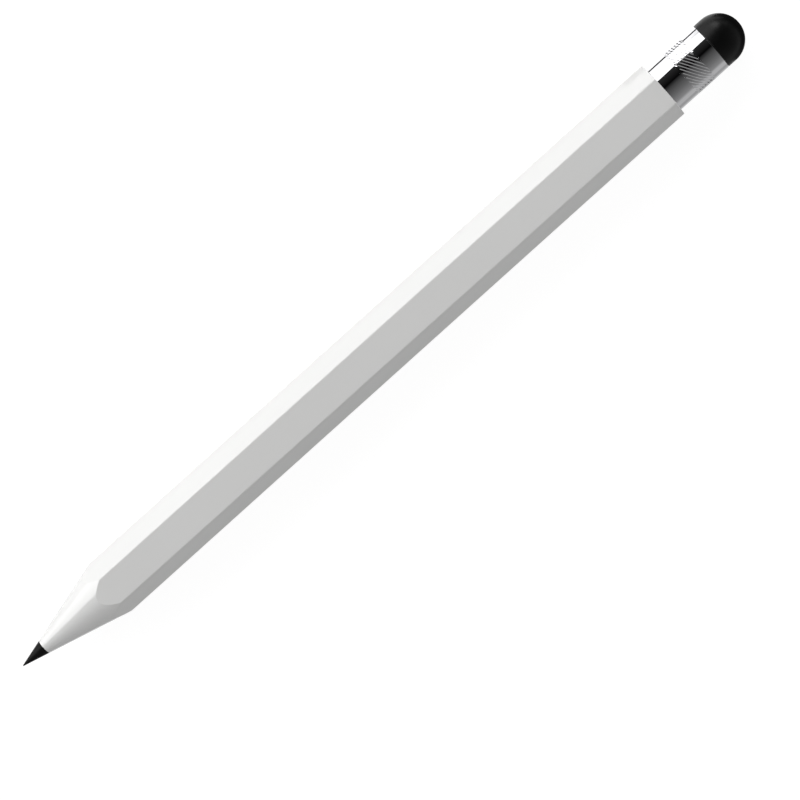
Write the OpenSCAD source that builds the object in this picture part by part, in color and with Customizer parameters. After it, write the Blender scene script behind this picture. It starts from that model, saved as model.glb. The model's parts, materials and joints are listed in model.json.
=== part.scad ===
// Pencil-shaped active stylus. A hexagonal barrel sharpened like a pencil carries a fine push-fit
// nib at the front. A knurled ferrule with a soft conductive dome screws into the back and closes
// the bay of one slim cell.
// The pen lies along X with its nib at -X, resting on one flat of the hexagon at Z = 0.

/* [Barrel] */
// Width of the hexagonal barrel across its flats
barrel_af = 10; // [9.8:0.1:11]
// Length of the pen from the rounded nib to the end of the dome
overall_length = 172.25; // [168:0.05:190]
// Depth by which the six long edges of the barrel are broken
edge_break = 0.05; // [0.02:0.01:0.3]
// Bore of the barrel, which holds the cell
bore_d = 8.5; // [8.4:0.05:8.6]

/* [Point] */
// Half angle of the sharpened point, in degrees
cone_half_angle = 14.75; // [14:0.25:16]
// Width of the barrel's end ring where the nose cone seats against it
seam_lip = 0.35; // [0.2:0.05:0.5]
// Length of the nose cone's spigot inside the barrel
nose_spigot_length = 6.8; // [5:0.1:8]

/* [Nib] */
// Length of the nib's cone, measured from the sharp point it would have
nib_length = 5.5; // [4.8:0.05:6]
// Radius that rounds the very tip of the nib
nib_tip_r = 0.12; // [0.08:0.02:0.3]
// Diameter of the nib's push-fit shank
nib_shank_d = 1.8; // [1.5:0.05:1.9]
// Length of the nib's shank
nib_shank_length = 8; // [7:0.1:8.5]

/* [Ferrule] */
// Outside diameter of the ferrule
ferrule_d = 9.6; // [9.4:0.05:9.7]
// Length of the ferrule between the barrel and the dome
ferrule_length = 11.45; // [11:0.05:13]
// Chamfer of the ferrule's rim beside the dome
ferrule_rim = 0.15; // [0.05:0.05:0.3]
// Length of the threaded shank that screws into the barrel
shank_length = 4.7; // [4:0.1:5]
// Outside diameter of the thread on the shank
thread_d = 8.6; // [8.55:0.05:8.7]
// Thickness of the wall between the spring bay and the dome's socket
web_thickness = 2.5; // [2:0.1:3]

/* [Knurl] */
// Distance of the knurled band from the barrel
knurl_offset = 3.95; // [3:0.05:5]
// Width of the knurled band
knurl_width = 4.4; // [3:0.1:5]
// Helical grooves round the ferrule
knurl_grooves = 28; // [20:1:40]
// Angle of the grooves to the ferrule's circumference, in degrees
knurl_angle = 30; // [25:1:45]
// Depth of the grooves
knurl_depth = 0.12; // [0.08:0.02:0.2]

/* [Dome] */
// Diameter of the soft dome
dome_d = 9.5; // [9.2:0.05:9.6]
// Straight skirt below the hemisphere
dome_skirt = 1.7; // [1.4:0.1:2.5]
// Thickness of the dome's wall
dome_wall = 1; // [0.8:0.1:1.3]
// Radius of the skirt's edge beside the ferrule
dome_lip_r = 0.3; // [0.1:0.05:0.4]

/* [Cell] */
// Diameter of the cell over its sleeve
cell_d = 8.3; // [8:0.05:8.35]
// Length of the cell from its raised terminal to its base
cell_length = 42; // [41:0.1:42.5]

/* [Electronics] */
// Width of the circuit board
board_width = 7.2; // [6.8:0.1:7.4]
// Thickness of the circuit board
board_t = 0.8; // [0.6:0.1:1]

/* [Hidden] */
$fn = 64;
eps = 0.5;               // how far a cutter runs past the face that it cuts
running_gap = 0.05;      // radial room of a part that screws or slides in a bore
nib_gap = 0.02;          // radial room of the nib's shank in its socket
crest_relief = 0.02;     // how far the knurl's crests lie below the ferrule's plain wall

// Stations along the pen, measured from the sharp point that the cone would have
cone_slope = tan(cone_half_angle);
apex_gap = nib_tip_r * (1 / sin(cone_half_angle) - 1);
pen_end = apex_gap + overall_length;
dome_base = pen_end - dome_skirt - dome_d / 2;
barrel_end = dome_base - ferrule_length;
bore_r = bore_d / 2;
seam_r = bore_r + seam_lip;
seam = seam_r / cone_slope;
nose_back = seam + nose_spigot_length;
nib_base_r = nib_length * cone_slope;
shank_front = barrel_end - shank_length;

// Nib socket and the contact behind it
socket_r = 1.5;
socket_front = nib_length + 4.15;
socket_length = 6;
socket_back = socket_front + socket_length;
socket_stub = 0.8;
contact_spring_length = 5;
terminal_front = socket_back + contact_spring_length;

// Cell and its contacts
cell_back = shank_front - 1.2;
cell_front = cell_back - cell_length;
sleeve_t = 0.1;
cell_nub_r = 1.9;
cell_nub = 0.8;
contact_plate_t = 0.3;
contact_bump = 0.5;
contact_tail_width = 2;
button_r = 2.75;
button_t = 0.4;

// Carrier and board
carrier_front = nose_back;
carrier_back = cell_front - contact_plate_t - contact_bump;
carrier_ring = 3;
trough_r = 3.2;
board_front = terminal_front + 1.5;
board_back = carrier_back - carrier_ring - 1;
board_length = board_back - board_front;
board_top = board_t / 2;
tongue_width = 5;
tongue_length = 6;

// Places of the parts on the board, measured from its front end
driver_at = 18;
controller_at = 34;
crystal_at = 41.5;
inductor_at = 50;
diode_at = 56;
capacitors_at = [13, 24, 29, 62, 66];
capacitor_row = 1.6;

// Tail
o_ring_section = 0.7;
o_ring_groove_r = 3.75;
o_ring_land = 1.2;
thread_bore_r = thread_d / 2 + running_gap;
mouth_r = o_ring_groove_r + o_ring_section + running_gap;
spring_bay_r = 3.3;
spring_bay_back = barrel_end + 2.3;
web_back = spring_bay_back + web_thickness;
dome_neck_r = 3.7;
core_r = 2.9;
core_stud_r = 1;

// Carries a child from the pen's axis, where X counts from the sharp point, to where the pen lies.
module lay_down() {
    translate([-(apex_gap + overall_length / 2), 0, barrel_af / 2]) children();
}

// Stands a child's Z axis along the pen, starting at a station.
module along(station) {
    translate([station, 0, 0]) rotate([0, 90, 0]) children();
}

// Turns a profile of [radius, station] points about the pen's axis.
module turned(profile) {
    along(0) rotate_extrude() polygon(profile);
}

// A round bore or shaft between two stations.
module round_bar(r, from, to) {
    along(from) cylinder(r = r, h = to - from);
}

// The rear half of a ball whose centre is at a station.
module half_ball(r, station) {
    intersection() {
        along(station) sphere(r);
        round_bar(r + eps, station, station + r + eps);
    }
}

// The barrel's hexagon, with a flat above and below and its six edges broken.
module barrel_outline() {
    intersection() {
        rotate(30) circle(d = barrel_af / cos(30), $fn = 6);
        circle(barrel_af / 2 / cos(30) - edge_break);
    }
}

// The cone that sharpens the barrel, and a cylinder that leaves the rest of it whole.
module sharpener() {
    clear_r = barrel_af;
    turned([[0, 0], [clear_r, clear_r / cone_slope], [clear_r, barrel_end + eps], [0, barrel_end + eps]]);
}

// A coil spring along the pen with one close turn at each end.
module coil_spring(mean_r, wire_d, from, to, turns, sides = 6, steps = 14) {
    rings = turns * steps;
    close_pitch = 1.1 * wire_d;
    free_rise = to - from - wire_d - 2 * close_pitch;
    function rise(t) = t < 1 ? t * close_pitch
        : t > turns - 1 ? close_pitch + free_rise + (t - turns + 1) * close_pitch
        : close_pitch + free_rise * (t - 1) / (turns - 2);
    points = [
        for (i = [0 : rings], j = [0 : sides - 1])
            let (turn = i / steps, a = 360 * turn, b = 360 * j / sides, r = mean_r + wire_d / 2 * cos(b))
            [r * cos(a), r * sin(a), wire_d / 2 + rise(turn) + wire_d / 2 * sin(b)]
    ];
    walls = [
        for (i = [0 : rings - 1], j = [0 : sides - 1])
            let (k = (j + 1) % sides)
            [i * sides + j, i * sides + k, (i + 1) * sides + k, (i + 1) * sides + j]
    ];
    front_cap = [[for (j = [sides - 1 : -1 : 0]) j]];
    back_cap = [[for (j = [0 : sides - 1]) rings * sides + j]];
    along(from) polyhedron(points, concat(walls, front_cap, back_cap), convexity = 10);
}

// A block on the board: its centre along the pen and across it, and its size.
module on_board(station, across, size) {
    translate([station - size[0] / 2, across - size[1] / 2, board_top]) cube(size);
}

// Hexagonal tube, sharpened at the front, with a thread and a seal land at the back
module barrel() {
    color("whitesmoke") lay_down() difference() {
        intersection() {
            along(seam) linear_extrude(barrel_end - seam) barrel_outline();
            sharpener();
        }
        round_bar(bore_r, seam - eps, barrel_end + eps);
        round_bar(thread_bore_r, shank_front - eps, barrel_end + eps);
        round_bar(mouth_r, barrel_end - o_ring_land, barrel_end + eps);
    }
}

// Insulating nose that carries the cone on from the barrel down to the nib
module nose_cone() {
    shank_hole_r = nib_shank_d / 2 + running_gap;
    funnel_front = socket_back + 0.6;
    funnel_back = socket_back + 3.5;
    color("whitesmoke") lay_down() turned([
        [shank_hole_r, nib_length], [nib_base_r, nib_length], [seam_r, seam], [bore_r, seam],
        [bore_r, nose_back], [trough_r, nose_back], [trough_r, funnel_back],
        [socket_r, funnel_front], [socket_r, socket_front], [shank_hole_r, socket_front]
    ]);
}

// Conductive nib: a rounded cone and its push-fit shank
module nib() {
    tip_centre = nib_tip_r / sin(cone_half_angle);
    tangent = tip_centre - nib_tip_r * sin(cone_half_angle);
    shank_r = nib_shank_d / 2;
    shank_end = nib_length + nib_shank_length;
    lead_in = 0.3;
    color("#1a1a1a") lay_down() {
        turned([
            [0, tangent], [tangent * cone_slope, tangent], [nib_base_r, nib_length], [shank_r, nib_length],
            [shank_r, shank_end - lead_in], [shank_r - lead_in, shank_end], [0, shank_end]
        ]);
        along(tip_centre) sphere(nib_tip_r);
    }
}

// Slit brass collet that grips the nib's shank
module nib_socket() {
    slit = 0.3;
    slit_length = 3.6;
    stub_r = 0.75;
    grip_r = nib_shank_d / 2 + nib_gap;
    grip_back = nib_length + nib_shank_length + 0.3;
    color("goldenrod") lay_down() difference() {
        union() {
            round_bar(socket_r, socket_front, socket_back);
            round_bar(stub_r, socket_back, socket_back + socket_stub);
        }
        round_bar(grip_r, socket_front - eps, grip_back);
        for (turn = [0, 90])
            rotate([turn, 0, 0])
                translate([socket_front - eps, -slit / 2, -socket_r - eps])
                    cube([slit_length + eps, slit, 2 * (socket_r + eps)]);
    }
}

// Coil that carries the signal from the board to the socket
module nib_contact_spring() {
    mean_r = 1.05;
    wire_d = 0.3;
    turns = 6;
    color("silver") lay_down() coil_spring(mean_r, wire_d, socket_back, terminal_front, turns);
}

// Bent brass tab on the board's tongue that the coil presses on
module nib_terminal() {
    tab_t = 0.4;
    tab_half = 1.3;
    foot_length = 4;
    color("goldenrod") lay_down() {
        translate([terminal_front, -tab_half, -tab_half]) cube([tab_t, 2 * tab_half, 2 * tab_half]);
        translate([terminal_front, -tab_half, board_top]) cube([foot_length, 2 * tab_half, tab_t]);
    }
}

// Moulded trough that holds the board, with a ring in front and a bulkhead behind
module carrier() {
    lug_length = 3;
    lug_hook = 0.3;
    lug_top = board_top + 0.5;
    lug_reach = 4.05;
    lug_inset = 12;
    middle = (carrier_front + carrier_back) / 2;
    lug_stations = [carrier_front + lug_inset, middle, carrier_back - lug_inset];
    span = carrier_back - carrier_front;
    color("dimgray") lay_down() {
        difference() {
            union() {
                intersection() {
                    round_bar(bore_r, carrier_front, carrier_back);
                    translate([carrier_front, -bore_r, -bore_r]) cube([span, bore_d, bore_r - board_top]);
                }
                round_bar(bore_r, carrier_front, carrier_front + carrier_ring);
                round_bar(bore_r, carrier_back - carrier_ring, carrier_back);
            }
            round_bar(trough_r, carrier_front - eps, carrier_back - carrier_ring);
            translate([carrier_front - eps, -board_width / 2, -board_top])
                cube([board_back - carrier_front + eps, board_width, board_t]);
            translate([carrier_back - carrier_ring - eps, -contact_tail_width / 2, board_top])
                cube([carrier_ring + 2 * eps, contact_tail_width, contact_plate_t]);
        }
        for (station = lug_stations, side = [0, 1])
            mirror([0, side, 0]) translate([station - lug_length / 2, 0, 0]) {
                translate([0, board_width / 2, -board_top])
                    cube([lug_length, lug_reach - board_width / 2, lug_top + board_top]);
                translate([0, board_width / 2 - lug_hook, board_top])
                    cube([lug_length, lug_hook, lug_top - board_top]);
            }
    }
}

// Long narrow board with a tongue that reaches into the nose
module circuit_board() {
    color("seagreen") lay_down() translate([board_front, 0, -board_top]) {
        translate([0, -tongue_width / 2, 0]) cube([tongue_length, tongue_width, board_t]);
        translate([tongue_length, -board_width / 2, 0])
            cube([board_length - tongue_length, board_width, board_t]);
    }
}

// Chip that runs the stylus
module controller_chip() {
    color("#202020") lay_down() on_board(board_front + controller_at, 0, [5, 5, 0.9]);
}

// Chip that drives the nib
module driver_chip() {
    color("#202020") lay_down() on_board(board_front + driver_at, 0, [4, 4, 0.9]);
}

// Wound drum of the voltage booster: two flanges and the winding between them
module boost_inductor() {
    flange_r = 2;
    flange_t = 0.5;
    winding_r = 1.7;
    winding_h = 1;
    color("#3a3a3a") lay_down() translate([board_front + inductor_at, 0, board_top]) {
        cylinder(r = flange_r, h = flange_t);
        translate([0, 0, flange_t]) cylinder(r = winding_r, h = winding_h);
        translate([0, 0, flange_t + winding_h]) cylinder(r = flange_r, h = flange_t);
    }
}

// Timing crystal in its metal can
module crystal() {
    color("silver") lay_down() on_board(board_front + crystal_at, 0, [3.2, 2.5, 0.8]);
}

// Diode of the voltage booster
module rectifier_diode() {
    color("#202020") lay_down() on_board(board_front + diode_at, 0, [2.6, 1.6, 1]);
}

// Ceramic capacitors, in pairs beside the chips
module capacitors() {
    color("tan") lay_down()
        for (at = capacitors_at, across = [-capacitor_row, capacitor_row])
            on_board(board_front + at, across, [1.6, 0.8, 0.8]);
}

// Arched leaf that joins the board's earth to the barrel
module ground_spring() {
    leaf_t = 0.25;
    leaf_w = 2;
    flat = 2;
    rise = 3.4;
    leaf_length = 5 * flat;
    inset = leaf_length + flat;
    under = [[0, 0], [flat, 0], [2 * flat, rise], [3 * flat, rise], [4 * flat, 0], [leaf_length, 0]];
    spread = 0.15 * [0, -1, -1, 1, 1, 0];
    over = [for (i = [len(under) - 1 : -1 : 0]) under[i] + [spread[i], leaf_t]];
    color("gold") lay_down() translate([board_back - inset, leaf_w / 2, board_top])
        rotate([90, 0, 0]) linear_extrude(leaf_w) polygon(concat(under, over));
}

// Nickelled plate with a bump that meets the cell, and a tail soldered to the board
module positive_contact() {
    plate_r = 2.4;
    bump_r = 1;
    tail_overlap = 2;
    tail_front = carrier_back - carrier_ring - tail_overlap;
    color("silver") lay_down() {
        round_bar(plate_r, carrier_back, carrier_back + contact_plate_t);
        round_bar(bump_r, carrier_back + contact_plate_t, cell_front);
        translate([tail_front, -contact_tail_width / 2, board_top])
            cube([carrier_back - tail_front, contact_tail_width, contact_plate_t]);
    }
}

// Fibre ring that keeps a cell put in backwards from making contact
module polarity_ring() {
    stand_off = 0.3;
    hole_r = 2.6;
    ring_t = contact_plate_t + contact_bump + stand_off;
    color("peru") lay_down() difference() {
        round_bar(bore_r, carrier_back, carrier_back + ring_t);
        round_bar(hole_r, carrier_back - eps, carrier_back + ring_t + eps);
    }
}

// Steel can of the cell with its raised terminal
module cell_can() {
    can_r = cell_d / 2 - sleeve_t;
    shoulder = cell_front + cell_nub;
    bevel = 0.5;
    color("lightgray") lay_down() turned([
        [0, cell_front], [cell_nub_r, cell_front], [cell_nub_r, shoulder], [can_r - bevel, shoulder],
        [can_r, shoulder + bevel], [can_r, cell_back], [0, cell_back]
    ]);
}

// Printed sleeve shrunk round the can
module cell_sleeve() {
    sleeve_front = cell_front + cell_nub + 0.5;
    color("steelblue") lay_down() difference() {
        round_bar(cell_d / 2, sleeve_front, cell_back);
        round_bar(cell_d / 2 - sleeve_t, sleeve_front - eps, cell_back + eps);
    }
}

// Plated disc on the tail spring that meets the cell's base
module contact_button() {
    color("silver") lay_down() round_bar(button_r, cell_back, cell_back + button_t);
}

// Coil that presses the cell forward and carries its current to the ferrule
module tail_spring() {
    mean_r = 2.45;
    wire_d = 0.55;
    turns = 6;
    color("silver") lay_down() coil_spring(mean_r, wire_d, cell_back + button_t, spring_bay_back, turns);
}

// Rubber ring that seals the ferrule in the barrel's mouth
module o_ring() {
    ring_r = o_ring_section / 2;
    color("#202020") lay_down() along(barrel_end - o_ring_land / 2)
        rotate_extrude() translate([o_ring_groove_r + ring_r, 0]) circle(ring_r);
}

// Solid band with helical grooves cut between flat crests, all running the same way round
module knurled_band() {
    crest_r = ferrule_d / 2 - crest_relief;
    root_r = ferrule_d / 2 - knurl_depth;
    crest_share = 0.5;
    step = 360 / knurl_grooves;
    lead = PI * ferrule_d * tan(knurl_angle);
    slices = 12;
    outline = [
        for (i = [0 : knurl_grooves - 1], corner = [[0, crest_r], [crest_share, crest_r], [0.75, root_r]])
            let (a = step * (i + corner[0]))
            [corner[1] * cos(a), corner[1] * sin(a)]
    ];
    along(barrel_end + knurl_offset)
        linear_extrude(knurl_width, twist = -360 * knurl_width / lead, slices = slices, convexity = 10)
            polygon(outline);
}

// Turned and chromed ferrule: threaded shank, shoulder, knurled grip and the dome's socket
module ferrule() {
    body_r = ferrule_d / 2;
    waist_r = body_r - 2 * knurl_depth;
    knurl_front = barrel_end + knurl_offset;
    knurl_back = knurl_front + knurl_width;
    thread_r = thread_d / 2;
    lead_in = 0.3;
    color("silver") lay_down() difference() {
        union() {
            turned([
                [0, shank_front], [thread_r - lead_in, shank_front], [thread_r, shank_front + lead_in],
                [thread_r, barrel_end - o_ring_land], [o_ring_groove_r, barrel_end - o_ring_land],
                [o_ring_groove_r, barrel_end], [body_r, barrel_end], [body_r, knurl_front],
                [waist_r, knurl_front], [waist_r, knurl_back], [body_r, knurl_back],
                [body_r, dome_base - ferrule_rim], [body_r - ferrule_rim, dome_base], [0, dome_base]
            ]);
            knurled_band();
        }
        round_bar(spring_bay_r, shank_front - eps, spring_bay_back);
        round_bar(core_stud_r, spring_bay_back - eps, web_back + eps);
        round_bar(dome_neck_r, web_back, dome_base + eps);
    }
}

// Turned post that holds the dome, with a stud riveted through the ferrule's web
module dome_core() {
    post_end = dome_base + 0.9;
    lead_in = 0.4;
    rivet_r = 1.7;
    rivet_t = 0.5;
    color("goldenrod") lay_down() turned([
        [0, spring_bay_back - rivet_t], [rivet_r, spring_bay_back - rivet_t], [rivet_r, spring_bay_back],
        [core_stud_r, spring_bay_back], [core_stud_r, web_back], [core_r, web_back],
        [core_r, post_end - lead_in], [core_r - lead_in, post_end], [0, post_end]
    ]);
}

// Hollow dome of conductive rubber with a neck that fills the ferrule's socket
module dome() {
    dome_r = dome_d / 2;
    equator = dome_base + dome_skirt;
    hollow_r = dome_r - dome_wall;
    color("#141414") lay_down() difference() {
        union() {
            round_bar(dome_neck_r, web_back, dome_base);
            round_bar(dome_r - dome_lip_r, dome_base, equator);
            along(dome_base + dome_lip_r)
                rotate_extrude() translate([dome_r - dome_lip_r, 0]) circle(dome_lip_r);
            round_bar(dome_r, dome_base + dome_lip_r, equator);
            half_ball(dome_r, equator);
        }
        round_bar(core_r, web_back - eps, equator);
        round_bar(hollow_r, dome_base + dome_wall, equator);
        half_ball(hollow_r, equator);
    }
}

barrel();
nose_cone();
nib();
nib_socket();
nib_contact_spring();
nib_terminal();
carrier();
circuit_board();
controller_chip();
driver_chip();
boost_inductor();
crystal();
rectifier_diode();
capacitors();
ground_spring();
positive_contact();
polarity_ring();
cell_can();
cell_sleeve();
contact_button();
tail_spring();
o_ring();
ferrule();
dome_core();
dome();
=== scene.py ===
"""Finished look of a pencil-shaped stylus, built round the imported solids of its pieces."""

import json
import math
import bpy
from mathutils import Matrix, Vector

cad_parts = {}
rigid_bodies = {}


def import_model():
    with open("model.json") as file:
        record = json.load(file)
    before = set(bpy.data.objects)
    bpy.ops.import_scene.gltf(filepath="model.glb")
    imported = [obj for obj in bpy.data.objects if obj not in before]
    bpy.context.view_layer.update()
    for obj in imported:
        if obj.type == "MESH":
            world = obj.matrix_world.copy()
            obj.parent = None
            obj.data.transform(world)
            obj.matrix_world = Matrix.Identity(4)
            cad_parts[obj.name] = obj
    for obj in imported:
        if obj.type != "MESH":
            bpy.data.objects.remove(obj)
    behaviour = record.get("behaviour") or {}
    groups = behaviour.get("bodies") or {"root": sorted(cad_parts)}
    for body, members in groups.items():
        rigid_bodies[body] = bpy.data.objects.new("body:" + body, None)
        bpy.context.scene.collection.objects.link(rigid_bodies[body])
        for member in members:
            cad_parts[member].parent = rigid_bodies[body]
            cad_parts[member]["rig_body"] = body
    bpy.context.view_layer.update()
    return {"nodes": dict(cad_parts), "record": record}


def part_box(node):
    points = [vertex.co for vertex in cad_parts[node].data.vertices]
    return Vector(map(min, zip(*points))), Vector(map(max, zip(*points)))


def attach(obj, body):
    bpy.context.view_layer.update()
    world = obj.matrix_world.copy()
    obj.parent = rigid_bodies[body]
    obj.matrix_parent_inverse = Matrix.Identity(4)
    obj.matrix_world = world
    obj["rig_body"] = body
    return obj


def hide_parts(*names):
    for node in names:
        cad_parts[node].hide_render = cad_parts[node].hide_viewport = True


bl_info = {
    "name": "Pencil Stylus",
    "version": (1, 0, 0),
    "blender": (4, 5, 0),
    "location": "View3D > Sidebar > Stylus",
    "description": "Builds a pencil-shaped stylus with a knurled tail, its finishes and its studio",
    "category": "Add Mesh",
}

import bmesh
import bpy
from bpy.props import FloatProperty, FloatVectorProperty, IntProperty, PointerProperty
from mathutils import Matrix, Vector

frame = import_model()

MM = 0.001
FULL_TURN = 2 * math.pi
QUARTER_TURN = math.pi / 2
WELD = 1e-7                # vertices closer than this are one
TURN_STEPS = 128           # faces round a turned piece
EASE_STEPS = 4             # fewest faces round an eased corner
EASE_STEP = 0.2 * MM       # a wider corner has one face for each such length of its ease
SIDES = 6                  # flats of the barrel
SHARP_ANGLE = math.radians(30)         # an edge that bends more than this stays crisp

# Boxes of the solids that the pieces are fitted to
BARREL_LOW, BARREL_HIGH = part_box("barrel")
NOSE_LOW, NOSE_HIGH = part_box("nose_cone")
NIB_LOW, NIB_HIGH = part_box("nib")
SOCKET_LOW, SOCKET_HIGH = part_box("nib_socket")
FERRULE_LOW, FERRULE_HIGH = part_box("ferrule")
DOME_LOW, DOME_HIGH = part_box("dome")
SEAL_LOW, SEAL_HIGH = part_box("o_ring")
DISC_LOW, DISC_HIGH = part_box("contact_button")

# The pen's axis, and the cone that runs from the nib over the nose up the barrel's flats
AXIS_Z = (BARREL_LOW.z + BARREL_HIGH.z) / 2
AXIS_POINT = (0.0, 0.0, AXIS_Z)
ALONG_PEN = (1.0, 0.0, 0.0)
SEAM_RADIUS = NOSE_HIGH.y
NIB_RADIUS = NIB_HIGH.y
CONE_SLOPE = (SEAM_RADIUS - NIB_RADIUS) / (BARREL_LOW.x - NOSE_LOW.x)
CONE_APEX = NOSE_LOW.x - NIB_RADIUS / CONE_SLOPE

# Radii of the barrel's bore, which the carrier fills, of the ferrule and of the post in the dome's neck
BORE_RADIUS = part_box("carrier")[1].y
FERRULE_RADIUS = FERRULE_HIGH.y
POST_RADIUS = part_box("dome_core")[1].y

# The soft box stands beside the pen and runs along LAMP_ALONG. LAMP_AWAY points from it to the dark side.
UP = Vector((0.0, 0.0, 1.0))
LAMP_ALONG = Vector((0.864, 0.503, 0.0))
LAMP_AWAY = LAMP_ALONG.cross(UP)


def linear(hex_code):
    """Turns an sRGB hex colour to the linear colour that shaders take."""
    parts = [int(hex_code[i:i + 2], 16) / 255 for i in (0, 2, 4)]
    return [c / 12.92 if c <= 0.04045 else ((c + 0.055) / 1.055) ** 2.4 for c in parts] + [1.0]


def size(name, description, metres):
    """A length that a user may change."""
    return FloatProperty(
        name=name, description=description, default=metres, min=0.0, precision=5,
        subtype="DISTANCE", unit="LENGTH",
    )


def tint(name, description, hex_code):
    """A colour that a user may change."""
    return FloatVectorProperty(
        name=name, description=description, default=linear(hex_code), size=4, min=0.0, max=1.0,
        subtype="COLOR",
    )


class StylusBarrelSizes(bpy.types.PropertyGroup):
    """Sizes of the painted barrel, its nose and the nib"""

    across_flats: size("Across flats", "Width of the barrel across its flats", BARREL_HIGH.z - BARREL_LOW.z)
    edge_round: size("Edge rounding", "Distance from a long edge at which it is rounded", 0.18 * MM)
    rear_ease: size("Rear edge", "Chamfer of the barrel's rear edge", 0.06 * MM)
    thread_bore: size("Thread bore", "Radius of the threaded bore", 4.35 * MM)
    thread_room: size("Thread depth", "Length of the threaded bore behind the cell", 5.2 * MM)
    mouth_bore: size("Mouth bore", "Radius of the seal's land in the mouth", 4.5 * MM)
    mouth_depth: size("Mouth depth", "Length of the seal's land", 1.2 * MM)
    shank_hole: size("Shank hole", "Radius of the hole for the nib's shank", 0.95 * MM)
    nose_bay: size("Nose bay", "Radius of the open back of the nose", 3.2 * MM)
    nib_shank: size("Nib shank", "Radius of the nib's shank", 0.9 * MM)
    small_ease: size("Small ease", "Easing of small moulded edges", 0.04 * MM)


class StylusTailSizes(bpy.types.PropertyGroup):
    """Sizes of the turned ferrule, the dome and what is behind them"""

    knurl_front: size("Knurl offset", "Distance of the knurl from the barrel", 3.95 * MM)
    knurl_width: size("Knurl width", "Width of the knurled band", 4.4 * MM)
    knurl_depth: size("Knurl depth", "Depth of the knurl's grooves", 0.08 * MM)
    knurl_wall: size("Knurl wall", "Width of the slope at each side of a groove", 0.15 * MM)
    knurl_grooves: IntProperty(
        name="Grooves", description="Grooves round the ferrule", default=28, min=12, max=60,
    )
    knurl_angle: FloatProperty(
        name="Knurl angle", description="Angle of the grooves to the circumference",
        default=math.radians(30), subtype="ANGLE", unit="ROTATION",
    )
    rim: size("Rim", "Chamfer of the rim beside the dome", 0.15 * MM)
    shoulder_ease: size("Shoulder", "Chamfer of the shoulder beside the barrel", 0.04 * MM)
    thread_radius: size("Thread radius", "Radius of the thread's crests", 4.3 * MM)
    thread_depth: size("Thread depth", "Depth of the thread", 0.4 * MM)
    thread_lead: size("Thread lead", "Travel of the ferrule in one turn", 2.0 * MM)
    thread_starts: IntProperty(
        name="Thread starts", description="Threads side by side", default=2, min=1, max=4,
    )
    bay_radius: size("Spring bay", "Radius of the bay that holds the tail spring", 3.3 * MM)
    groove_radius: size("Seal groove", "Radius at the floor of the seal's groove", 3.75 * MM)
    groove_width: size("Seal groove width", "Width of the seal's groove", 1.2 * MM)
    socket_radius: size("Dome socket", "Radius of the socket that holds the dome's neck", 3.7 * MM)
    stud_radius: size("Stud hole", "Radius of the hole through the ferrule's web", 1.0 * MM)
    web: size("Web", "Thickness of the wall between the bay and the socket", 2.5 * MM)
    dome_wall: size("Dome wall", "Thickness of the dome's wall", 1.0 * MM)
    dome_lip: size("Dome lip", "Rounding of the dome's edge beside the ferrule", 0.1 * MM)
    tail_wire: size("Tail wire", "Thickness of the tail spring's wire", 0.55 * MM)
    nib_wire: size("Nib wire", "Thickness of the nib spring's wire", 0.3 * MM)


class StylusColours(bpy.types.PropertyGroup):
    """Colours of the finishes that show"""

    lacquer: tint("Lacquer", "White of the barrel and nose", "E4E4E3")
    nib: tint("Nib", "Black of the nib", "121212")
    chrome: tint("Chrome", "Tone of the plating", "EDEDEF")
    dome: tint("Dome", "Black of the rubber dome", "080808")


class StylusStudio(bpy.types.PropertyGroup):
    """The camera and the light of the studio"""

    camera_place: FloatVectorProperty(
        name="Camera place", description="Where the camera stands", default=(0.04052, 0.07254, 0.73511),
        size=3, subtype="TRANSLATION", unit="LENGTH",
    )
    camera_turn: FloatVectorProperty(
        name="Camera turn", description="How the camera is turned",
        default=[math.radians(angle) for angle in (-7.081, -1.7537, -42.0363)],
        size=3, subtype="EULER", unit="ROTATION",
    )
    lens: FloatProperty(
        name="Lens", description="Focal length in millimetres", default=185.0, min=20.0,
        subtype="DISTANCE_CAMERA", unit="CAMERA",
    )
    key_glow: FloatProperty(
        name="Key", description="Brightness of the soft box's lamp", default=2.5, min=0.0,
    )
    fill_glow: FloatProperty(
        name="Fill", description="Brightness of the fill", default=1.1, min=0.0,
    )
    ambient: FloatProperty(
        name="Ambient", description="Even light from all round", default=0.37, min=0.0, max=1.0,
        subtype="FACTOR",
    )
    floor_white: FloatProperty(
        name="Floor white", description="Brightness that the floor shows besides its lit colour",
        default=0.9, min=0.0, max=1.0, subtype="FACTOR",
    )
    # The soft box's face and the dark tent at this distance are painted reflections, glows that only
    # mirrors see
    tent_radius: size("Tent", "Distance of the soft box and the dark cards from the pen", 1.2)


# Modelling


def radius_of(vert):
    """Distance of a vertex from the pen's axis."""
    return math.hypot(vert.co.y, vert.co.z - AXIS_Z)


def angle_of(point):
    """Angle of a point round the pen's axis, from +Y towards +Z."""
    return math.atan2(point.z - AXIS_Z, point.y)


def set_ring(verts, x, radius):
    """Moves a ring of vertices to a place along the pen, at one radius."""
    for vert in verts:
        spoke = radius / radius_of(vert)
        vert.co = (x, vert.co.y * spoke, AXIS_Z + (vert.co.z - AXIS_Z) * spoke)


def next_ring(shape, ring):
    """Extrudes a ring of edges. Gives the new edges and vertices, which still lie on the old ones."""
    made = bmesh.ops.extrude_edge_only(shape, edges=ring)["geom"]
    verts = [part for part in made if isinstance(part, bmesh.types.BMVert)]
    edges = [part for part in made if isinstance(part, bmesh.types.BMEdge)]
    fresh = set(verts)
    return [edge for edge in edges if fresh.issuperset(edge.verts)], verts


def follow(shape, ring, stations):
    """Takes a ring along stations of (x, radius), and gives the last ring."""
    for x, radius in stations:
        ring, verts = next_ring(shape, ring)
        set_ring(verts, x, radius)
    return ring


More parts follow.
